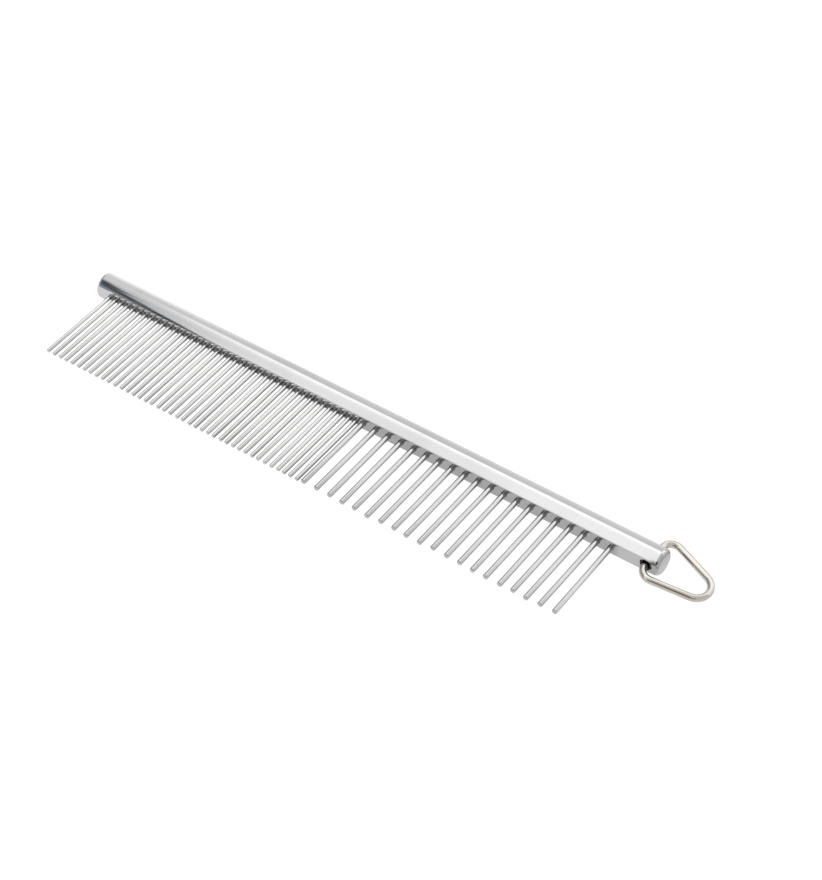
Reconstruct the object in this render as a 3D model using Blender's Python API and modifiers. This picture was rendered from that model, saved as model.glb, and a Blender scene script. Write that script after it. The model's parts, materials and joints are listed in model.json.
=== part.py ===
"""Steel grooming comb, modelled as its separate physical pieces.

A round chromed bar has a narrow flat along its tooth side. Steel pins with domed tips are pressed into
the flat: a close row on one half of the bar, then a wide row of thicker pins on the other half. A hole
through the bar, near the end of the wide row, holds a loose wire ring that the comb hangs by.

Lengths are in metres. In the comb's own axes the bar lies along X, the teeth point along -Y and the
tooth row is the XY plane. The comb is then laid down as it rests on a table: on the bar's underside and
on the tips of the teeth, with the ring dropped onto the table beyond the end of the bar.
"""
import math

import bmesh
import bpy
from mathutils import Matrix, Vector

# ---- the bar ----
BAR_LENGTH = 0.190
BAR_RADIUS = 0.0040
FLAT_WIDTH = 0.0040
PLAIN_END_ROUND = 0.0013        # edge radius at the end without the ring
RING_END_ROUND = 0.0011         # edge radius at the end with the ring
BAR_SIDES = 40
END_ROUND_STEPS = 4

# ---- the teeth ----
TOOTH_LENGTH = 0.0281           # from the flat to the tip
TOOTH_SEAT = 0.0029             # length inside the bar
FINE_COUNT = 41
FINE_PITCH = 0.00218
FINE_RADIUS = 0.00065
COARSE_COUNT = 20
COARSE_PITCH = 0.00425
COARSE_RADIUS = 0.000825
FIRST_TOOTH = 0.0051            # from the plain end of the bar to the first tooth
SEAT_CLEARANCE = 0.0001         # round each pin and under it, so that the meshes stay apart
TOOTH_SIDES = 12
DOME_RINGS = 3
SEPARATE_TEETH = 58             # the rest are joined to the bar, to stay within sixty nodes

# ---- the ring ----
RING_HOLE_FROM_END = 0.0040
RING_HOLE_RADIUS = 0.0018
RING_HOLE_SIDES = 24
WIRE_RADIUS = 0.00105
RING_HALF_BASE = 0.0083         # from the middle of the base to its sharp corner, on the wire's centre
RING_HALF_ANGLE = math.radians(15.3)
RING_BASE_BEND = 0.0030         # bend radii on the wire's centre
RING_TIP_BEND = 0.0045
RING_SEAM = 0.0003              # gap between the butted ends of the wire, inside the hole
RING_YAW = math.radians(-3.1)   # how the ring lies within the play of its hole: turned in its plane,
RING_SHIFT = 0.00028            # moved outwards along the bar
RING_SLIDE = 0.00067            # and moved along the hole, away from the teeth
BEND_STEPS = 8

CUT_MARGIN = 0.002              # how far a cutter runs past what it cuts

FLAT_DISTANCE = math.sqrt(BAR_RADIUS ** 2 - (FLAT_WIDTH / 2) ** 2)
HOLE_X = BAR_LENGTH / 2 - RING_HOLE_FROM_END
TIP_DISTANCE = FLAT_DISTANCE + TOOTH_LENGTH
REST_TILT = math.asin((BAR_RADIUS - COARSE_RADIUS) / (TIP_DISTANCE - COARSE_RADIUS))


def clear_scene():
    for obj in list(bpy.data.objects):
        bpy.data.objects.remove(obj, do_unlink=True)


def new_collection(name):
    collection = bpy.data.collections.new(name)
    bpy.context.scene.collection.children.link(collection)
    return collection


def metal(name, colour, roughness):
    material = bpy.data.materials.new(name)
    material.use_nodes = True
    shader = material.node_tree.nodes["Principled BSDF"]
    shader.inputs["Base Color"].default_value = (*colour, 1.0)
    shader.inputs["Metallic"].default_value = 1.0
    shader.inputs["Roughness"].default_value = roughness
    return material


def quarter_round(centre, radius, start, steps):
    """Points of a quarter turn, clockwise from the angle start, in the plane of a turned profile."""
    angles = [start - math.pi / 2 * i / steps for i in range(steps + 1)]
    return [(centre[0] + radius * math.cos(a), centre[1] + radius * math.sin(a)) for a in angles]


def turned(name, profile, sides, collection, material):
    """A solid of revolution about Z. The profile (radius, z) runs from its top down to its bottom."""
    mesh = bpy.data.meshes.new(name)
    edges = [(i, i + 1) for i in range(len(profile) - 1)]
    mesh.from_pydata([(radius, 0.0, z) for radius, z in profile], edges, [])
    mesh.materials.append(material)
    obj = bpy.data.objects.new(name, mesh)
    collection.objects.link(obj)
    screw = obj.modifiers.new("turn", 'SCREW')
    screw.steps = sides
    screw.render_steps = sides
    screw.use_merge_vertices = True
    screw.merge_threshold = 1e-6
    screw.use_smooth_shade = True
    return obj


def make_cutter(obj):
    obj.hide_render = True
    obj.display_type = 'WIRE'


def boolean(obj, operation, operand):
    modifier = obj.modifiers.new(operand.name, 'BOOLEAN')
    modifier.operation = operation
    modifier.solver = 'EXACT'
    modifier.object = operand


def tooth_rows():
    """Name, place along the bar and radius of every tooth, from the plain end to the ring end."""
    x = FIRST_TOOTH - BAR_LENGTH / 2
    rows = []
    for number in range(FINE_COUNT):
        rows.append((f"fine_tooth_{number + 1:02d}", x, FINE_RADIUS))
        x += FINE_PITCH
    for number in range(COARSE_COUNT):
        rows.append((f"coarse_tooth_{number + 1:02d}", x, COARSE_RADIUS))
        x += COARSE_PITCH
    return rows


def pin_profile(radius):
    """A pin along +Z: z = 0 at its seated end, a half-round dome at its tip."""
    top = TOOTH_SEAT + TOOTH_LENGTH
    dome = quarter_round((0.0, top - radius), radius, math.pi / 2, DOME_RINGS)
    return [(0.0, top)] + dome[1:] + [(radius, 0.0), (0.0, 0.0)]


def bar_profile():
    """The bar along +Z, with the ring end at the top."""
    half = BAR_LENGTH / 2
    ring_end = quarter_round((BAR_RADIUS - RING_END_ROUND, half - RING_END_ROUND),
                             RING_END_ROUND, math.pi / 2, END_ROUND_STEPS)
    plain_end = quarter_round((BAR_RADIUS - PLAIN_END_ROUND, PLAIN_END_ROUND - half),
                              PLAIN_END_ROUND, 0.0, END_ROUND_STEPS)
    return [(0.0, half)] + ring_end + plain_end + [(0.0, -half)]


def cutter_object(name, bm, collection):
    mesh = bpy.data.meshes.new(name)
    bm.to_mesh(mesh)
    bm.free()
    cutter = bpy.data.objects.new(name, mesh)
    collection.objects.link(cutter)
    make_cutter(cutter)
    return cutter


def flat_cutter(collection):
    depth = BAR_RADIUS - FLAT_DISTANCE + CUT_MARGIN
    size = Vector((BAR_LENGTH + 2 * CUT_MARGIN, depth, 2 * BAR_RADIUS + 2 * CUT_MARGIN))
    place = Matrix.LocRotScale(Vector((0.0, -FLAT_DISTANCE - depth / 2, 0.0)), None, size)
    bm = bmesh.new()
    bmesh.ops.create_cube(bm, size=1.0, matrix=place)
    return cutter_object("flat_cutter", bm, collection)


def hole_cutter(name, holes, sides, collection):
    """One cutter of round plugs along Y; each hole is (x, low y, high y, radius)."""
    bm = bmesh.new()
    for x, low, high, radius in holes:
        place = Matrix.Translation((x, (low + high) / 2, 0.0)) @ Matrix.Rotation(math.pi / 2, 4, 'X')
        bmesh.ops.create_cone(bm, cap_ends=True, segments=sides, radius1=radius, radius2=radius,
                              depth=high - low, matrix=place)
    return cutter_object(name, bm, collection)


def make_teeth(parts, cutters, steel, frame):
    """Every pin, seated in the flat. The last few are operands that the bar is joined to."""
    joined = []
    for index, (name, x, radius) in enumerate(tooth_rows()):
        separate = index < SEPARATE_TEETH
        pin = turned(name, pin_profile(radius), TOOTH_SIDES, parts if separate else cutters, steel)
        pin.location = (x, TOOTH_SEAT - FLAT_DISTANCE, 0.0)
        pin.rotation_euler = (math.pi / 2, 0.0, 0.0)
        pin.parent = frame
        if not separate:
            make_cutter(pin)
            joined.append(pin)
    return joined


def make_bar(parts, cutters, chrome, frame, joined_teeth):
    bar = turned("spine_bar", bar_profile(), BAR_SIDES, parts, chrome)
    bar.data.transform(Matrix.Rotation(math.pi / 2, 4, 'Y'))
    bar.modifiers["turn"].axis = 'X'
    seat_floor = TOOTH_SEAT + SEAT_CLEARANCE - FLAT_DISTANCE
    seats = [(x, -FLAT_DISTANCE - CUT_MARGIN, seat_floor, radius + SEAT_CLEARANCE)
             for _, x, radius in tooth_rows()[:SEPARATE_TEETH]]
    through = [(HOLE_X, -BAR_RADIUS - CUT_MARGIN, BAR_RADIUS + CUT_MARGIN, RING_HOLE_RADIUS)]
    for cutter in (flat_cutter(cutters),
                   hole_cutter("tooth_seat_cutter", seats, TOOTH_SIDES, cutters),
                   hole_cutter("ring_hole_cutter", through, RING_HOLE_SIDES, cutters)):
        cutter.parent = frame
        boolean(bar, 'DIFFERENCE', cutter)
    for pin in joined_teeth:
        boolean(bar, 'UNION', pin)
    bar.parent = frame
    return bar


def bend(before, corner, after, radius):
    """Points of the round bend that replaces a sharp corner."""
    to_before = (before - corner).normalized()
    to_after = (after - corner).normalized()
    half = to_before.angle(to_after) / 2
    centre = corner + (to_before + to_after).normalized() * (radius / math.sin(half))
    start = corner + to_before * (radius / math.tan(half)) - centre
    turn = math.copysign(math.pi - 2 * half, to_after.cross(to_before))
    return [centre + Matrix.Rotation(turn * i / BEND_STEPS, 2) @ start for i in range(BEND_STEPS + 1)]


def ring_path():
    """The wire's centre line in the plane through the hole's axis: a rounded triangle based in the hole."""
    upper = Vector((0.0, RING_HALF_BASE))
    lower = Vector((0.0, -RING_HALF_BASE))
    tip = Vector((RING_HALF_BASE / math.tan(RING_HALF_ANGLE), 0.0))
    path = [Vector((0.0, RING_SEAM / 2))]
    path += bend(Vector((0.0, 0.0)), upper, tip, RING_BASE_BEND)
    path += bend(upper, tip, lower, RING_TIP_BEND)
    path += bend(tip, lower, Vector((0.0, 0.0)), RING_BASE_BEND)
    path.append(Vector((0.0, -RING_SEAM / 2)))
    play = Vector((RING_SHIFT, RING_SLIDE))
    return [Matrix.Rotation(RING_YAW, 2) @ point + play for point in path]


def ring_drop():
    """How far the ring turns down from the tooth plane before the wire rests on the table."""
    above_table = [(BAR_RADIUS - WIRE_RADIUS + point.y * math.sin(REST_TILT), point.x)
                   for point in ring_path() if point.x > RING_BASE_BEND]
    return math.asin(min(height / reach for height, reach in above_table) / math.cos(REST_TILT))


def make_ring(parts, nickel, hinge):
    curve = bpy.data.curves.new("hanging_ring", 'CURVE')
    curve.dimensions = '3D'
    curve.bevel_depth = WIRE_RADIUS
    curve.bevel_resolution = 4
    curve.use_fill_caps = True
    path = ring_path()
    spline = curve.splines.new('POLY')
    spline.points.add(len(path) - 1)
    for point, place in zip(spline.points, path):
        point.co = (place.x, place.y, 0.0, 1.0)
    curve.materials.append(nickel)
    ring = bpy.data.objects.new("hanging_ring", curve)
    parts.objects.link(ring)
    ring.parent = hinge
    return ring


def add_empty(name, collection, parent=None):
    empty = bpy.data.objects.new(name, None)
    collection.objects.link(empty)
    empty.parent = parent
    return empty


def stand_on_origin(frame, parts):
    """Move the comb so that the middle of the underside of its bounding box is at the origin."""
    bpy.context.view_layer.update()
    depsgraph = bpy.context.evaluated_depsgraph_get()
    corners = []
    for obj in parts.objects:
        if obj.type != 'EMPTY':
            evaluated = obj.evaluated_get(depsgraph)
            mesh = evaluated.to_mesh()
            corners += [obj.matrix_world @ vertex.co for vertex in mesh.vertices]
            evaluated.to_mesh_clear()
    low = Vector([min(corner[i] for corner in corners) for i in range(3)])
    high = Vector([max(corner[i] for corner in corners) for i in range(3)])
    frame.location -= Vector(((low.x + high.x) / 2, (low.y + high.y) / 2, low.z))


def main():
    clear_scene()
    parts = new_collection("grooming_comb")
    cutters = new_collection("grooming_comb_cutters")
    chrome = metal("spine_chrome", (0.80, 0.81, 0.83), 0.08)
    steel = metal("tooth_steel", (0.74, 0.74, 0.75), 0.16)
    nickel = metal("ring_nickel", (0.78, 0.73, 0.65), 0.18)

    frame = add_empty("comb_axes", parts)
    hinge = add_empty("ring_hinge", parts, frame)
    joined_teeth = make_teeth(parts, cutters, steel, frame)
    make_bar(parts, cutters, chrome, frame, joined_teeth)
    make_ring(parts, nickel, hinge)

    hinge.location = (HOLE_X, 0.0, 0.0)
    hinge.rotation_euler = (0.0, ring_drop(), 0.0)
    frame.rotation_euler = (REST_TILT, 0.0, 0.0)
    stand_on_origin(frame, parts)


main()
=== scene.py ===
"""Looks of the steel grooming comb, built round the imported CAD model.

The chromed bar, the pressed-in steel pins and the hanging ring are modelled again as fine meshes in the
comb's own axes: X along the bar, -Y along the teeth, the tooth row in the XY plane. One matrix then lays
them where the CAD model lies. The comb rests on a white light table, and a white studio shows in its chrome.
"""
import json
import math
import random

import bmesh
import bpy
from mathutils import Matrix, Vector


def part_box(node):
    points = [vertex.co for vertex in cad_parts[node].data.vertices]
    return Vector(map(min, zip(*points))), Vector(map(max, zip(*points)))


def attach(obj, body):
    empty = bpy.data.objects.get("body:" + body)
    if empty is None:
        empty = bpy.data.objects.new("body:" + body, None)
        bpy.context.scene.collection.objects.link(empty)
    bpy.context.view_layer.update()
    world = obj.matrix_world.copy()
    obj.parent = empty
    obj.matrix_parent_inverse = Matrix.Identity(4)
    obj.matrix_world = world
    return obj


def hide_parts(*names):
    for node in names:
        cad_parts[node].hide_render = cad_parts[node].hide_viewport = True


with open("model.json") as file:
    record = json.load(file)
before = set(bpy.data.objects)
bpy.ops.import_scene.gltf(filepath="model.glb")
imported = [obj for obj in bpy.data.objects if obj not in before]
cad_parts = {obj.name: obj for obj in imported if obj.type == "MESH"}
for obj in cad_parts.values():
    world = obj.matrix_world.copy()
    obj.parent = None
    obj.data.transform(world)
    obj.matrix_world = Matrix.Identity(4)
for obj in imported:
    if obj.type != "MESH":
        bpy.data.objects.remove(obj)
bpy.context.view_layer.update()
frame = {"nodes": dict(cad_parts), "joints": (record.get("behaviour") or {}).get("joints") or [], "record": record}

# ---- sizes that repeat the CAD model's, in metres ----
BAR_RADIUS = 0.0040
FLAT_DISTANCE = 0.003464
PLAIN_END_ROUND = 0.0013
RING_END_ROUND = 0.0011
FINE_RADIUS = 0.00065
COARSE_RADIUS = 0.000825
FINE_PITCH = 0.00218
COARSE_PITCH = 0.00425
JOINED_TEETH = 3                # teeth that the CAD model joins to the bar, nearest the ring
TOOTH_LENGTH = 0.0281
TOOTH_SEAT = 0.0029
RING_HOLE_RADIUS = 0.0018
WIRE_RADIUS = 0.00105
RING_HALF_BASE = 0.0083
RING_HALF_ANGLE = math.radians(15.3)
RING_BASE_BEND = 0.0030
RING_TIP_BEND = 0.0045
RING_SEAM = 0.0003
RING_YAW = math.radians(-3.1)   # how the ring lies within the play of its hole
RING_SHIFT = 0.00028
RING_SLIDE = 0.00067

# ---- finer detail than the CAD model's ----
FLAT_EDGE_BLEND = 0.00005       # how softly the flat runs into the round of the bar
FLAT_SIDE = -0.2                # cosine of the bearing past which a section may meet the flat
END_CREASE = math.radians(24)   # where on its oval the ring end's edge round starts
SEAT_CLEARANCE = 0.00003
SEAT_CHAMFER = 0.00010
HOLE_CHAMFER = 0.00020
CUT_PAST = 0.001                # how far each cutter runs out past the bar
TOOTH_SEED = 61
TOOTH_LEAN = math.radians(0.80)   # of the whole row, towards the plain end
TOOTH_SCATTER = math.radians(0.40)
FINE_UNEVEN = 0.00008           # how much longer or shorter than the rest a tooth may be
COARSE_UNEVEN = 0.00030
SEATED_TAPER = 0.1              # at the seated end, as a share of the tooth's radius
DOME_HEIGHT = 0.55              # of the tips, as a share of the tooth's radius
DOME_REACH = math.radians(84)   # the dome's small end is closed flat from here

# ---- mesh fineness ----
BAR_SIDES = 144
HOLE_SIDES = 48
TOOTH_SIDES = 28
WIRE_SIDES = 28
PLAIN_END_STEPS = 12
RING_END_STEPS = 16
DOME_STEPS = 9
BEND_STEPS = 18
SHARP_ANGLE = math.radians(32)  # shading breaks at edges that turn by more
BAR_SHARP_ANGLE = math.radians(12)

# ---- painted shade and painted highlights on the bar's flat and ring end, as brightness where its round is 1 ----
# painted shade on the flat, standing in for the shadowed table that it reflects
FLAT_PLAIN = 0.86
FLAT_COARSE = 0.66              # painted shade among the coarse teeth
FLAT_END = 0.66                 # painted shade past the ring's hole
FLAT_FINE = 1.15                # a painted highlight among the fine teeth, with patches of painted shade and a brighter painted lower edge
FLAT_PATCH_SHADE = 0.19
FLAT_LOW_HIGHLIGHT = 1.6
END_FACE = (0.86, 0.70)         # painted shade on the ring end's face, from its bottom to its top
END_CORNER_SHADE = 0.42               # painted shade, a dark reflection, on the corner where the crease of that end meets the flat's upper edge

# ---- where that painted shade and light begin and are full: pairs of places, in metres ----
FINE_BEGINS = (-0.0004, 0.0004)       # along the bar, from the first fine tooth
FINE_ENDS = (0.0012, 0.0002)          # from the last fine tooth
COARSE_BEGINS = (0.0002, 0.0012)
COARSE_ENDS = (0.0030, 0.0010)        # from the last coarse tooth
END_BEGINS = (-0.0005, 0.0015)        # from the ring's hole
CORNER_BEGINS = (-0.0034, -0.0016)    # from the ring end's face
FACE_BEGINS = (-0.0009, -0.0004)
FLAT_BEGINS = (-0.00335, -0.00342)    # towards the teeth, from the middle of the bar
CORNER_DEPTH = (-0.0027, -0.0032)
PATCH_TOP = (0.0017, 0.0011)          # up the flat, from its middle
LOW_EDGE = (-0.0010, -0.0014)
CORNER_HEIGHT = (0.0014, 0.0019)
FACE_HEIGHT = (-0.003, 0.003)

# ---- the patches of painted shade between the fine teeth ----
PATCH_EDGE = (0.25, 0.55)       # on a wave along the bar that is 0 at each tooth and 1 in mid gap
PATCH_LEAN = 0.59               # how far the patches lean along the bar for each unit up the flat

# ---- painted shade and a painted highlight down the sides of the fine pins ----
PIN_SHADE = (0.05, 0.42)         # least and most painted shade down one side of a pin
PIN_DRIFT = (0.5, 1.4)          # what multiplies that, from the plain end to the middle of the comb
PIN_DRIFT_SPAN = (-0.100, 0.0)  # the places of those two, along X
PIN_HIGHLIGHT = 0.14                 # painted highlight down a pin's other side
SHADED_SIDE = (0.40, 0.85)        # where the two sides begin and are full, in radii across the pin
LIT_SIDE = (0.0, -0.5)

# ---- plate: how fine its patterns are, in noise cells to the metre ----
BAR_GRAIN = (12.0, 1600.0, 1600.0)    # polishing lines, along each of the piece's own axes
PIN_GRAIN = (1400.0, 1400.0, 40.0)
WIRE_GRAIN = (500.0, 500.0, 500.0)
PLATE_PATCHES = 90.0
PLATE_SPECKS = 1400.0
SPECK_SHARE = 0.25              # how deep the specks are, where the polishing lines are 1
GRAIN_STRENGTH = 0.35

# ---- studio ----
TABLE_HALF = 6.0
TABLE_DROP = 0.00002            # of the table's top, so that the bar doesn't share a surface with it
TABLE_MOTTLE = 60.0             # noise cells to the metre
CANOPY_FACING = Vector((0.699, -0.455, 0.551))
OPERATOR_SIDE = Vector((-0.95, -0.31, 0.0))   # level and square to where the operator stands
FRONT_LEVEL = 0.96
REAR_RIGHT_LEVEL = 0.86         # what multiplies the canopy's brightness there
OVERHEAD_LEVEL = 0.35           # what is added to it overhead
OPERATOR_LEVEL = 0.20
OPERATOR_TINT = (1.10, 0.92, 0.72, 1.0)
FIGURE_TINT = (0.86, 0.95, 1.06, 1.0)
FIGURE_EDGE = 0.450             # how far left the second figure's edge is, on the horizon
FIGURE_LEAN = 0.045             # how much further left for each unit up
FOLD_DEPTH = 0.05
FOLDS = (60.0, 3.0, 3.0)        # noise cells to the unit of direction
WHITE = (1.0, 1.0, 1.0, 1.0)

# ---- camera ----
CAMERA_TARGET = Vector((0.0066, 0.0102, 0.004))
CAMERA_DISTANCE = 0.7976
CAMERA_AZIMUTH = math.radians(30.60)
CAMERA_ELEVATION = math.radians(40.75)
CAMERA_ROLL = math.radians(5.47)
CAMERA_LENS = 118.1


# ---------------------------------------------------------------- where the CAD model lies

def comb_matrix():
    """The comb's own axes in the row frame, from the bar's two end faces and the ring's hinge axis."""
    mounts = {mount["name"]: Vector(mount["pos_m"]) for mount in frame["record"]["mounts"]}
    along = (mounts["ring_end_face"] - mounts["plain_end_face"]).normalized()
    back = -Vector(frame["joints"][0]["axis"]).normalized()
    up = along.cross(back)
    middle = (mounts["ring_end_face"] + mounts["plain_end_face"]) / 2
    turned = Matrix((along, back, up)).transposed().to_4x4()
    return Matrix.Translation(middle) @ turned


COMB = comb_matrix()
HINGE_X = (COMB.inverted() @ Vector(frame["joints"][0]["pos_m"])).x
BAR_HALF = (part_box("spine_bar")[1].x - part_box("spine_bar")[0].x) / 2


def tooth_list():
    """(name, CAD node, place along the bar, radius, lean, length) of every tooth, from the plain end on."""
    teeth = []
    for name in sorted(frame["nodes"]):
        if "_tooth_" in name:
            low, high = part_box(name)
            x = (COMB.inverted() @ ((low + high) / 2)).x
            teeth.append((name, name, x, FINE_RADIUS if name.startswith("fine") else COARSE_RADIUS))
    teeth.sort(key=lambda tooth: tooth[2])
    last = teeth[-1]
    number = int(last[0].rsplit("_", 1)[1])
    for extra in range(1, JOINED_TEETH + 1):
        name = f"coarse_tooth_{number + extra:02d}"
        teeth.append((name, "spine_bar", last[2] + extra * COARSE_PITCH, COARSE_RADIUS))
    chance = random.Random(TOOTH_SEED)
    leans = [-TOOTH_LEAN + chance.uniform(-TOOTH_SCATTER, TOOTH_SCATTER) for _ in teeth]
    uneven = [FINE_UNEVEN if tooth[3] == FINE_RADIUS else COARSE_UNEVEN for tooth in teeth]
    lengths = [TOOTH_LENGTH + chance.uniform(-most, most) for most in uneven]
    return [(*tooth, lean, length) for tooth, lean, length in zip(teeth, leans, lengths)]


# ---------------------------------------------------------------- material helpers

class Nodes:
    """Short calls that add and join shader nodes in one tree."""

    def __init__(self, tree):
        self.tree = tree

    def add(self, kind, inputs=None, **settings):
        node = self.tree.nodes.new(kind)
        for key, value in settings.items():
            setattr(node, key, value)
        for key, value in (inputs or {}).items():
            if isinstance(value, bpy.types.NodeSocket):
                self.link(value, node.inputs[key])
            else:
                node.inputs[key].default_value = value
        return node

    def link(self, output, socket):
        self.tree.links.new(output, socket)

    def math(self, operation, first, second=0.0):
        return self.add("ShaderNodeMath", {0: first, 1: second}, operation=operation).outputs[0]

    def total(self, first, *others):
        for other in others:
            first = self.math('ADD', first, other)
        return first

    def product(self, first, *others):
        for other in others:
            first = self.math('MULTIPLY', first, other)
        return first

    def dot(self, vector, direction):
        node = self.add("ShaderNodeVectorMath", {0: vector, 1: direction}, operation='DOT_PRODUCT')
        return node.outputs["Value"]

    def axes(self, vector):
        return self.add("ShaderNodeSeparateXYZ", {0: vector}).outputs

    def ramp(self, value, limits, levels=(0.0, 1.0), start=0.0):
        """Smooth step from the first level to the second, over the limits measured from start."""
        low, high = (start + limit for limit in limits)
        node = self.add("ShaderNodeMapRange", {0: value, 1: low, 2: high, 3: levels[0], 4: levels[1]},
                        interpolation_type='SMOOTHSTEP')
        return node.outputs[0]

    def blend(self, factor, first, second):
        """first where factor is 0, second where it is 1."""
        return self.add("ShaderNodeMix", {0: factor, 2: first, 3: second}, data_type='FLOAT').outputs[0]

    def noise(self, vector, scale, detail=3.0, roughness=0.5):
        node = self.add("ShaderNodeTexNoise", {"Vector": vector, "Scale": scale, "Detail": detail,
                                               "Roughness": roughness})
        return node.outputs["Fac"]

    def stretched(self, vector, stretch):
        return self.add("ShaderNodeMapping", {"Vector": vector, "Scale": stretch}).outputs[0]

    def shaded(self, colour, shade):
        grey = self.add("ShaderNodeCombineXYZ", {0: shade, 1: shade, 2: shade}).outputs[0]
        return self.add("ShaderNodeVectorMath", {0: colour, 1: grey}, operation='MULTIPLY').outputs[0]


def new_material(name):
    material = bpy.data.materials.new(name)
    material.use_nodes = True
    nodes = Nodes(material.node_tree)
    shader = material.node_tree.nodes["Principled BSDF"]
    return material, nodes, shader


def plated_metal(name, colour, tint, roughness, grain, grain_depth, dull, flat_zones=None, pin_radius=None):
    """Bright plated metal.

    colour is the clean plate and tint the slightly duller plate in patches; roughness is a (low, high)
    pair; grain stretches the polishing lines in the piece's own axes; dull is how far handling marks
    raise the roughness; flat_zones is where the painted shade and painted highlights on the bar's flat
    change, and pin_radius is given for pins that get painted shade down one side and a painted highlight down the
    other (see below).
    """
    material, nodes, shader = new_material(name)
    place = nodes.add("ShaderNodeTexCoord").outputs["Object"]

    lines = nodes.noise(nodes.stretched(place, grain), 1.0, 4.0, 0.6)
    patches = nodes.noise(place, PLATE_PATCHES, 3.0, 0.55)
    specks = nodes.noise(place, PLATE_SPECKS, 2.0, 0.5)

    mix = nodes.add("ShaderNodeMix", data_type='RGBA')
    nodes.link(nodes.ramp(patches, (0.35, 0.75)), mix.inputs["Factor"])
    mix.inputs["A"].default_value = (*colour, 1.0)
    mix.inputs["B"].default_value = (*tint, 1.0)
    plate = mix.outputs["Result"]
    if flat_zones:
        plate = paint_flat_shade(nodes, place, plate, flat_zones)
    if pin_radius:
        plate = paint_pin_shade(nodes, place, plate, pin_radius)
    nodes.link(plate, shader.inputs["Base Color"])

    streaky = nodes.ramp(lines, (0.30, 0.70), roughness)
    marks = nodes.product(nodes.ramp(patches, (0.50, 0.80)), dull)
    nodes.link(nodes.total(streaky, marks), shader.inputs["Roughness"])

    height = nodes.total(lines, nodes.product(specks, SPECK_SHARE))
    bump = nodes.add("ShaderNodeBump", {"Height": height, "Strength": GRAIN_STRENGTH,
                                        "Distance": grain_depth})
    nodes.link(bump.outputs[0], shader.inputs["Normal"])
    shader.inputs["Metallic"].default_value = 1.0
    return material


def painted_shade_among_fine(nodes, x, z, first_fine):
    """Painted brightness of the flat among the fine teeth: a patch of painted shade in each gap, and a painted
    highlight along its lower edge.
    """
    leaning = nodes.math('SUBTRACT', nodes.math('SUBTRACT', x, nodes.product(z, PATCH_LEAN)), first_fine)
    phase = nodes.product(leaning, 2 * math.pi / FINE_PITCH)
    between = nodes.product(nodes.math('SUBTRACT', 1.0, nodes.math('COSINE', phase)), 0.5)
    patch = nodes.product(nodes.ramp(between, PATCH_EDGE), nodes.ramp(z, PATCH_TOP))
    level = nodes.blend(patch, FLAT_FINE, FLAT_PATCH_SHADE)
    return nodes.blend(nodes.ramp(z, LOW_EDGE), level, FLAT_LOW_HIGHLIGHT)


def paint_flat_shade(nodes, place, plate, zones):
    """The bar's flat gets painted shade, so it is less bright than its round and darkest in patches between the
    fine teeth, with painted highlights among those teeth.

    zones is (first fine tooth, last fine tooth, last coarse tooth), their places along the bar.
    """
    first_fine, last_fine, last_coarse = zones
    x, y, z = (nodes.dot(place, COMB.col[axis].xyz) for axis in range(3))
    fine = nodes.product(nodes.ramp(x, FINE_BEGINS, start=first_fine),
                         nodes.ramp(x, FINE_ENDS, start=last_fine))
    coarse = nodes.product(nodes.ramp(x, COARSE_BEGINS, start=last_fine),
                           nodes.ramp(x, COARSE_ENDS, start=last_coarse))
    shade = nodes.blend(nodes.ramp(x, END_BEGINS, start=HINGE_X), FLAT_PLAIN, FLAT_END)
    shade = nodes.blend(coarse, shade, FLAT_COARSE)
    shade = nodes.blend(fine, shade, painted_shade_among_fine(nodes, x, z, first_fine))
    shade = nodes.blend(nodes.ramp(y, FLAT_BEGINS), 1.0, shade)

    # painted shade, a dark reflection, on the corner where the ring end's crease meets the flat's upper edge
    corner = nodes.product(nodes.ramp(x, CORNER_BEGINS, start=BAR_HALF), nodes.ramp(y, CORNER_DEPTH),
                           nodes.ramp(z, CORNER_HEIGHT))
    shade = nodes.blend(corner, shade, END_CORNER_SHADE)
    # painted shade on the ring end's face, darker towards its top
    shade = nodes.blend(nodes.ramp(x, FACE_BEGINS, start=BAR_HALF), shade,
                        nodes.ramp(z, FACE_HEIGHT, END_FACE))
    return nodes.shaded(plate, shade)


def paint_pin_shade(nodes, place, plate, radius):
    """Painted shade down one side of a pin and a painted highlight down the other, by its own amount on each pin.
    """
    across = nodes.math('DIVIDE', nodes.axes(place)["X"], radius)
    pin = nodes.add("ShaderNodeObjectInfo").outputs
    along = nodes.axes(pin["Location"])["X"]
    amount = nodes.product(nodes.ramp(pin["Random"], (0.0, 1.0), PIN_SHADE),
                           nodes.ramp(along, PIN_DRIFT_SPAN, PIN_DRIFT))
    # painted shade down the pin's right side, and a painted highlight down its left
    dim_side = nodes.product(nodes.ramp(across, SHADED_SIDE), amount)
    bright_side = nodes.product(nodes.ramp(across, LIT_SIDE), PIN_HIGHLIGHT)
    return nodes.shaded(plate, nodes.total(nodes.math('SUBTRACT', 1.0, dim_side), bright_side))


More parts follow.
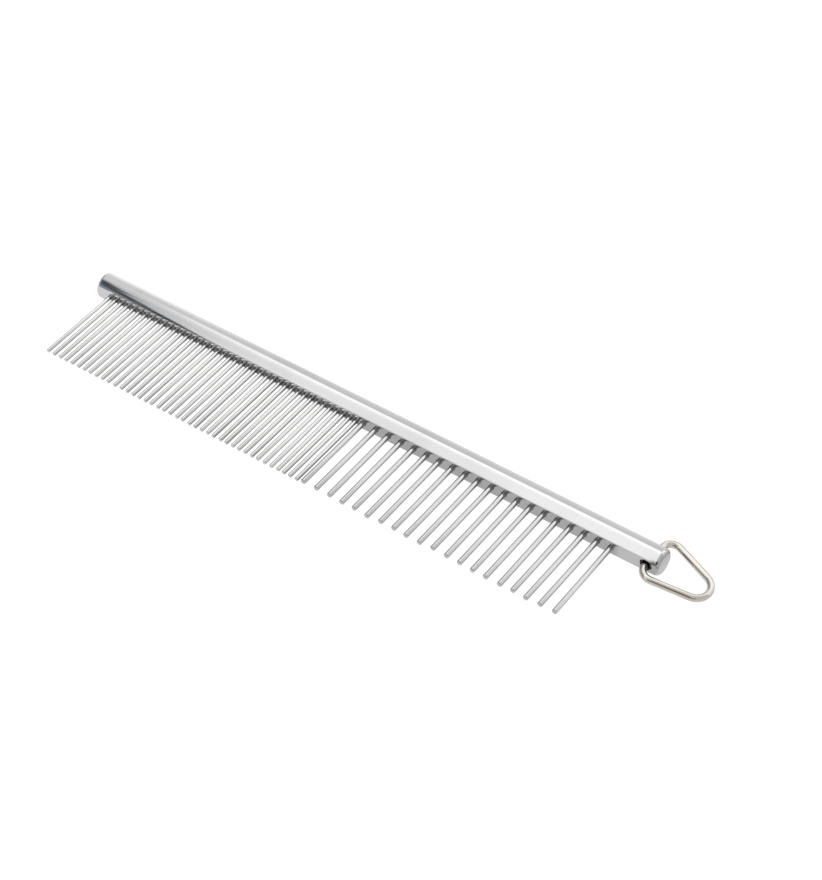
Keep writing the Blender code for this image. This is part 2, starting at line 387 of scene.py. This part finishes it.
def table_material():
    """A white light table: a glow with a faint mottle, stronger under the teeth and behind the plain end."""
    material, nodes, shader = new_material("light_table")
    place = nodes.add("ShaderNodeTexCoord").outputs["Object"]
    split = nodes.axes(place)
    x, y = split["X"], split["Y"]
    mottle = nodes.ramp(nodes.noise(place, TABLE_MOTTLE, 4.0, 0.6), (0.3, 0.7), (1.0, 1.03))
    behind = nodes.product(nodes.ramp(x, (0.02, -0.10)), nodes.ramp(y, (0.005, 0.03)), 0.5)
    under_teeth = nodes.product(nodes.ramp(x, (0.0, -0.08), (0.08, 0.30)), nodes.ramp(y, (0.010, 0.006)),
                                nodes.ramp(x, (0.095, 0.075)))
    nodes.link(nodes.total(mottle, behind, under_teeth), shader.inputs["Emission Strength"])
    shader.inputs["Emission Color"].default_value = WHITE
    shader.inputs["Base Color"].default_value = (0.02, 0.02, 0.02, 1.0)
    shader.inputs["Roughness"].default_value = 0.9
    shader.inputs["Specular IOR Level"].default_value = 0.1
    return material


# ---------------------------------------------------------------- mesh helpers

def finish_mesh(name, bm, material):
    bmesh.ops.recalc_face_normals(bm, faces=bm.faces)
    mesh = bpy.data.meshes.new(name)
    bm.to_mesh(mesh)
    bm.free()
    mesh.materials.append(material)
    mesh.shade_smooth()
    mesh.set_sharp_from_angle(angle=SHARP_ANGLE)
    obj = bpy.data.objects.new(name, mesh)
    bpy.context.scene.collection.objects.link(obj)
    return obj


def lay(obj, matrix):
    """Put the object in place, with any turn in the mesh itself, so that its own box is level."""
    obj.data.transform(matrix.to_3x3().to_4x4())
    obj.matrix_world = Matrix.Translation(matrix.translation)


def skin_rings(bm, rings):
    """Join equal rings of points into a tube, and close its ends with a face each."""
    loops = [[bm.verts.new(point) for point in ring] for ring in rings]
    for near, far in zip(loops, loops[1:]):
        for i in range(len(near)):
            j = (i + 1) % len(near)
            bm.faces.new((near[i], near[j], far[j], far[i]))
    bm.faces.new(loops[0])
    bm.faces.new(list(reversed(loops[-1])))


def arc(centre, radius, start, end, steps):
    """Points (u, v) of an arc, both ends included."""
    angles = [start + (end - start) * i / steps for i in range(steps + 1)]
    return [(centre[0] + radius * math.cos(a), centre[1] + radius * math.sin(a)) for a in angles]


def lathe_rings(profile, sides, place):
    """Rings for a profile of (radius, distance along +Z), put in place by a matrix."""
    rings = []
    for radius, z in profile:
        angles = [2 * math.pi * i / sides for i in range(sides)]
        rings.append([place @ Vector((radius * math.cos(a), radius * math.sin(a), z)) for a in angles])
    return rings


def along_tooth(x, lean):
    """Matrix whose +Z runs out of the flat along the tooth at x."""
    straight = Matrix.Translation((x, -FLAT_DISTANCE, 0.0)) @ Matrix.Rotation(math.pi / 2, 4, 'X')
    return straight @ Matrix.Rotation(lean, 4, 'Y')


# ---------------------------------------------------------------- the bar

def bar_section(x, radius):
    """One cross-section of the bar: a circle with a flat whose edges are slightly softened."""
    points = []
    for i in range(BAR_SIDES):
        angle = 2 * math.pi * (i + 0.5) / BAR_SIDES
        reach = radius
        if math.cos(angle) < FLAT_SIDE:
            to_flat = -FLAT_DISTANCE / math.cos(angle)
            nearer, gap = min(radius, to_flat), abs(radius - to_flat)
            reach = nearer - FLAT_EDGE_BLEND * math.log(1 + math.exp(-gap / FLAT_EDGE_BLEND))
        points.append(Vector((x, reach * math.cos(angle), reach * math.sin(angle))))
    return points


def bar_blank():
    """The bar before it is drilled: rounded at its plain end, and ground round with a crease at the other."""
    stations = []
    for inset, height in arc((PLAIN_END_ROUND, PLAIN_END_ROUND), PLAIN_END_ROUND,
                             1.5 * math.pi, math.pi, PLAIN_END_STEPS):
        stations.append((height - BAR_HALF, BAR_RADIUS - inset))
    for i in range(RING_END_STEPS + 1):
        angle = END_CREASE + (math.pi / 2 - END_CREASE) * i / RING_END_STEPS
        ahead = (math.sin(angle) - math.sin(END_CREASE)) / (1 - math.sin(END_CREASE))
        inset = 1 - math.cos(angle) / math.cos(END_CREASE)
        stations.append((BAR_HALF - RING_END_ROUND * (1 - ahead), BAR_RADIUS - RING_END_ROUND * inset))
    bm = bmesh.new()
    skin_rings(bm, [bar_section(x, radius) for x, radius in stations])
    return bm


def drill(teeth):
    """One cutter: a chamfered blind seat for every tooth, and the ring's hole, chamfered at both mouths."""
    bm = bmesh.new()
    for _, _, x, radius, lean, _ in teeth:
        hole = radius + SEAT_CLEARANCE
        profile = [(hole, -TOOTH_SEAT - SEAT_CLEARANCE), (hole, -SEAT_CHAMFER),
                   (hole + SEAT_CHAMFER + CUT_PAST, CUT_PAST)]
        skin_rings(bm, lathe_rings(profile, TOOTH_SIDES, along_tooth(x, lean)))
    hole, half = RING_HOLE_RADIUS, BAR_RADIUS
    mouth = hole + HOLE_CHAMFER + CUT_PAST
    profile = [(mouth, -half - CUT_PAST), (hole, -half + 2 * HOLE_CHAMFER),
               (hole, FLAT_DISTANCE - HOLE_CHAMFER), (mouth, FLAT_DISTANCE + CUT_PAST)]
    place = Matrix.Translation((HINGE_X, 0.0, 0.0)) @ Matrix.Rotation(math.pi / 2, 4, 'X')
    skin_rings(bm, lathe_rings(profile, HOLE_SIDES, place))
    return bm


def make_bar(teeth, chrome):
    bar = finish_mesh("chrome_spine", bar_blank(), chrome)
    cutter = finish_mesh("drill", drill(teeth), chrome)
    cut = bar.modifiers.new("drill", 'BOOLEAN')
    cut.object = cutter
    cut.solver = 'EXACT'
    depsgraph = bpy.context.evaluated_depsgraph_get()
    drilled = bpy.data.meshes.new_from_object(bar.evaluated_get(depsgraph))
    bar.modifiers.clear()
    bar.data = drilled
    drilled.set_sharp_from_angle(angle=BAR_SHARP_ANGLE)
    bpy.data.objects.remove(cutter, do_unlink=True)
    smooth = bar.modifiers.new("even_shading", 'WEIGHTED_NORMAL')
    smooth.keep_sharp = True
    lay(bar, COMB)
    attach(bar, "comb")
    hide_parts("spine_bar")


# ---------------------------------------------------------------- the teeth

def tooth_profile(radius, length):
    """From the seated end, z below the flat, out to the domed tip."""
    dome = [(reach, length - DOME_HEIGHT * (radius - height))
            for reach, height in arc((0.0, 0.0), radius, 0.0, DOME_REACH, DOME_STEPS)]
    return [(radius * (1 - SEATED_TAPER), -TOOTH_SEAT), (radius, -TOOTH_SEAT + radius * SEATED_TAPER)] + dome


def make_tooth(name, node, x, radius, lean, length, steel):
    bm = bmesh.new()
    skin_rings(bm, lathe_rings(tooth_profile(radius, length), TOOTH_SIDES, Matrix.Identity(4)))
    tooth = finish_mesh(name if node == "spine_bar" else f"{name}_pin", bm, steel)
    tooth.matrix_world = COMB @ along_tooth(x, lean)
    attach(tooth, "comb")
    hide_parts(node)


def make_teeth(teeth, fine_steel, coarse_steel):
    for tooth in teeth:
        make_tooth(*tooth, fine_steel if tooth[0].startswith("fine") else coarse_steel)


# ---------------------------------------------------------------- the ring

def bend(before, corner, after, radius):
    """Points of the round bend that replaces a sharp corner of the wire's centre line."""
    to_before = (before - corner).normalized()
    to_after = (after - corner).normalized()
    half = to_before.angle(to_after) / 2
    centre = corner + (to_before + to_after).normalized() * (radius / math.sin(half))
    start = corner + to_before * (radius / math.tan(half)) - centre
    turn = math.copysign(math.pi - 2 * half, to_after.cross(to_before))
    return [centre + Matrix.Rotation(turn * i / BEND_STEPS, 2) @ start for i in range(BEND_STEPS + 1)]


def ring_path():
    middle = Vector((0.0, 0.0))
    upper = Vector((0.0, RING_HALF_BASE))
    lower = Vector((0.0, -RING_HALF_BASE))
    tip = Vector((RING_HALF_BASE / math.tan(RING_HALF_ANGLE), 0.0))
    path = [Vector((0.0, RING_SEAM / 2))]
    path += bend(middle, upper, tip, RING_BASE_BEND)
    path += bend(upper, tip, lower, RING_TIP_BEND)
    path += bend(tip, lower, middle, RING_BASE_BEND)
    path.append(Vector((0.0, -RING_SEAM / 2)))
    play = Vector((RING_SHIFT, RING_SLIDE))
    return [Matrix.Rotation(RING_YAW, 2) @ point + play for point in path]


def ring_matrix():
    """The ring's own plane: the hinge, turned down so that the wire rests as the CAD ring does."""
    drop = BAR_RADIUS - WIRE_RADIUS
    tilt = math.asin(COMB.col[1].z)
    slopes = [(drop + point.y * math.sin(tilt)) / point.x
              for point in ring_path() if point.x > RING_BASE_BEND]
    angle = math.asin(min(slopes) / math.cos(tilt))
    return COMB @ Matrix.Translation((HINGE_X, 0.0, 0.0)) @ Matrix.Rotation(angle, 4, 'Y')


def make_ring(nickel):
    path = ring_path()
    rings = []
    for i, point in enumerate(path):
        ahead = path[min(i + 1, len(path) - 1)] - path[max(i - 1, 0)]
        side = Vector((ahead.y, -ahead.x)).normalized()
        angles = [2 * math.pi * k / WIRE_SIDES for k in range(WIRE_SIDES)]
        rings.append([Vector((point.x + side.x * WIRE_RADIUS * math.cos(a),
                              point.y + side.y * WIRE_RADIUS * math.cos(a),
                              WIRE_RADIUS * math.sin(a))) for a in angles])
    bm = bmesh.new()
    skin_rings(bm, rings)
    ring = finish_mesh("nickel_ring", bm, nickel)
    lay(ring, ring_matrix())
    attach(ring, "ring")
    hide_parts("hanging_ring")


# ---------------------------------------------------------------- studio

def make_camera():
    data = bpy.data.cameras.new("camera")
    data.lens = CAMERA_LENS
    data.sensor_width = 36.0
    data.clip_start = 0.01
    data.clip_end = 50.0
    camera = bpy.data.objects.new("camera", data)
    bpy.context.scene.collection.objects.link(camera)
    back = Vector((math.sin(CAMERA_AZIMUTH) * math.cos(CAMERA_ELEVATION),
                   -math.cos(CAMERA_AZIMUTH) * math.cos(CAMERA_ELEVATION), math.sin(CAMERA_ELEVATION)))
    camera.location = CAMERA_TARGET + back * CAMERA_DISTANCE
    aim = (-back).to_track_quat('-Z', 'Y').to_matrix()
    camera.rotation_euler = (aim @ Matrix.Rotation(CAMERA_ROLL, 3, 'Z')).to_euler()
    bpy.context.scene.camera = camera


def make_floor():
    bm = bmesh.new()
    bmesh.ops.create_grid(bm, x_segments=8, y_segments=8, size=TABLE_HALF)
    floor = finish_mesh("table", bm, table_material())
    floor.location.z = -TABLE_DROP


def back_wall(nodes, x, y, z):
    """The plain back, which glows low on the left. Far left, it is dim in front and bright behind."""
    wall = nodes.ramp(z, (0.30, 0.70), (1.12, 1.06))
    left_glow = nodes.product(nodes.ramp(x, (-0.42, -0.49)), nodes.ramp(z, (0.65, 0.25), (0.10, 0.45)))
    far_left = nodes.ramp(y, (0.40, 0.50), (0.60, 1.20))
    return nodes.blend(nodes.ramp(x, (-0.52, -0.62)), nodes.total(wall, left_glow), far_left)


def canopy(nodes, x, y, z, facing):
    """The bright canopy: dimmer at its left end, low down and at the right rear, and brightest overhead.

    facing is 0 on its edge, which glows, and 1 in the direction it hangs in.
    """
    cloth = nodes.total(nodes.ramp(x, (-0.49, -0.425), (0.92, 1.50)),
                        nodes.ramp(x, (-0.41, -0.33), (0.0, 0.17)))
    edge_glow = nodes.product(nodes.ramp(facing, (0.08, 0.34), (0.45, 0.0)),
                              nodes.ramp(x, (-0.49, -0.45), (0.5, 1.0)))
    low_down = nodes.ramp(z, (-0.02, 0.36), (0.46, 1.0))
    rear_right = nodes.product(nodes.ramp(x, (0.36, 0.62)), nodes.ramp(y, (0.47, 0.53)))
    overhead = nodes.product(nodes.ramp(z, (0.90, 0.97)), nodes.ramp(x, (-0.32, -0.22)), OVERHEAD_LEVEL)
    lit = nodes.product(nodes.total(cloth, edge_glow), low_down,
                        nodes.blend(rear_right, 1.0, REAR_RIGHT_LEVEL))
    return nodes.total(lit, overhead)


def plain_sides(nodes, x, y):
    """Where the front and the right are evenly lit, whatever hangs over them."""
    front = nodes.product(nodes.ramp(x, (-0.26, -0.16)), nodes.ramp(y, (-0.15, -0.32)))
    right = nodes.product(nodes.ramp(x, (0.02, 0.12)), nodes.ramp(y, (0.42, 0.32)))
    return nodes.math('MAXIMUM', front, right)


def operator_outline(nodes, way, y, z):
    """Where the camera's operator shows: a head and a wider body, seen only in front."""
    side = nodes.dot(way, OPERATOR_SIDE)
    head = nodes.product(nodes.ramp(side, (-0.22, -0.05)), nodes.ramp(side, (0.14, 0.02)),
                         nodes.ramp(z, (0.86, 0.66)))
    body = nodes.product(nodes.ramp(side, (-0.55, -0.40)), nodes.ramp(side, (0.50, 0.40)),
                         nodes.ramp(z, (0.52, 0.38)))
    in_front = nodes.product(nodes.ramp(z, (-0.02, 0.18)), nodes.ramp(y, (-0.30, -0.40)))
    return nodes.product(nodes.math('MAXIMUM', head, body), in_front)


def second_figure(nodes, way, x, y, z):
    """(where the second figure shows, how bright it is): its edge leans and is wavy with folds."""
    folds = nodes.noise(nodes.stretched(way, FOLDS), 1.0, 2.0)
    wobble = nodes.product(nodes.math('SUBTRACT', folds, 0.5), FOLD_DEPTH)
    past_edge = nodes.total(x, nodes.product(z, FIGURE_LEAN), FIGURE_EDGE, wobble)
    outline = nodes.product(nodes.ramp(past_edge, (0.004, -0.006)), nodes.ramp(y, (-0.12, -0.30)),
                            nodes.ramp(x, (-0.80, -0.70)))
    core = nodes.total(past_edge, nodes.ramp(x, (-0.478, -0.487), (0.0, 0.005)))
    level = nodes.product(nodes.ramp(core, (-0.013, -0.023), (0.10, 0.50)),
                          nodes.ramp(z, (0.03, 0.12), (0.6, 1.0)))
    return outline, level


def make_world():
    """A white studio, as the chrome shows it.

    A bright canopy hangs over the front and right and glows along its edge; the back is plainer. The camera
    and its operator are dim in front, and a second dim figure stands further left. The limits in each ramp
    are parts of the direction looked in: x to the right, y to the back, z up. The levels are brightness.
    """
    world = bpy.data.worlds.new("studio")
    bpy.context.scene.world = world
    world.use_nodes = True
    nodes = Nodes(world.node_tree)
    way = nodes.add("ShaderNodeTexCoord").outputs["Generated"]
    split = nodes.axes(way)
    x, y, z = (split[axis] for axis in "XYZ")

    facing = nodes.dot(way, CANOPY_FACING)
    operator = operator_outline(nodes, way, y, z)
    figure, figure_level = second_figure(nodes, way, x, y, z)
    level = nodes.blend(nodes.ramp(facing, (-0.04, 0.04)), back_wall(nodes, x, y, z),
                        canopy(nodes, x, y, z, facing))
    level = nodes.blend(plain_sides(nodes, x, y), level, FRONT_LEVEL)
    level = nodes.blend(operator, level, OPERATOR_LEVEL)
    level = nodes.blend(figure, level, figure_level)

    cool = nodes.add("ShaderNodeMix", {"Factor": figure}, data_type='RGBA')
    cool.inputs["A"].default_value = WHITE
    cool.inputs["B"].default_value = FIGURE_TINT
    warm = nodes.add("ShaderNodeMix", {"Factor": operator}, data_type='RGBA')
    nodes.link(cool.outputs["Result"], warm.inputs["A"])
    warm.inputs["B"].default_value = OPERATOR_TINT
    background = world.node_tree.nodes["Background"]
    nodes.link(warm.outputs["Result"], background.inputs["Color"])
    nodes.link(level, background.inputs["Strength"])


# ---------------------------------------------------------------- build

make_camera()
make_floor()
make_world()
bpy.context.scene.view_settings.view_transform = 'Standard'

all_teeth = tooth_list()
first_fine, last_coarse = all_teeth[0][2], all_teeth[-1][2]
last_fine = max(tooth[2] for tooth in all_teeth if tooth[0].startswith("fine"))

spine_chrome = plated_metal(
    "spine_chrome", colour=(0.51, 0.51, 0.515), tint=(0.48, 0.48, 0.485), roughness=(0.03, 0.06),
    grain=BAR_GRAIN, grain_depth=0.000004, dull=0.05, flat_zones=(first_fine, last_fine, last_coarse))
fine_steel = plated_metal(
    "fine_steel", colour=(0.53, 0.53, 0.525), tint=(0.48, 0.48, 0.475), roughness=(0.06, 0.12),
    grain=PIN_GRAIN, grain_depth=0.000004, dull=0.05, pin_radius=FINE_RADIUS)
coarse_steel = plated_metal(
    "coarse_steel", colour=(0.46, 0.46, 0.46), tint=(0.41, 0.41, 0.41), roughness=(0.06, 0.12),
    grain=PIN_GRAIN, grain_depth=0.000004, dull=0.05)
ring_nickel = plated_metal(
    "ring_nickel", colour=(0.51, 0.485, 0.445), tint=(0.46, 0.43, 0.385), roughness=(0.11, 0.16),
    grain=WIRE_GRAIN, grain_depth=0.000006, dull=0.08)

make_bar(all_teeth, spine_chrome)
make_teeth(all_teeth, fine_steel, coarse_steel)
make_ring(ring_nickel)
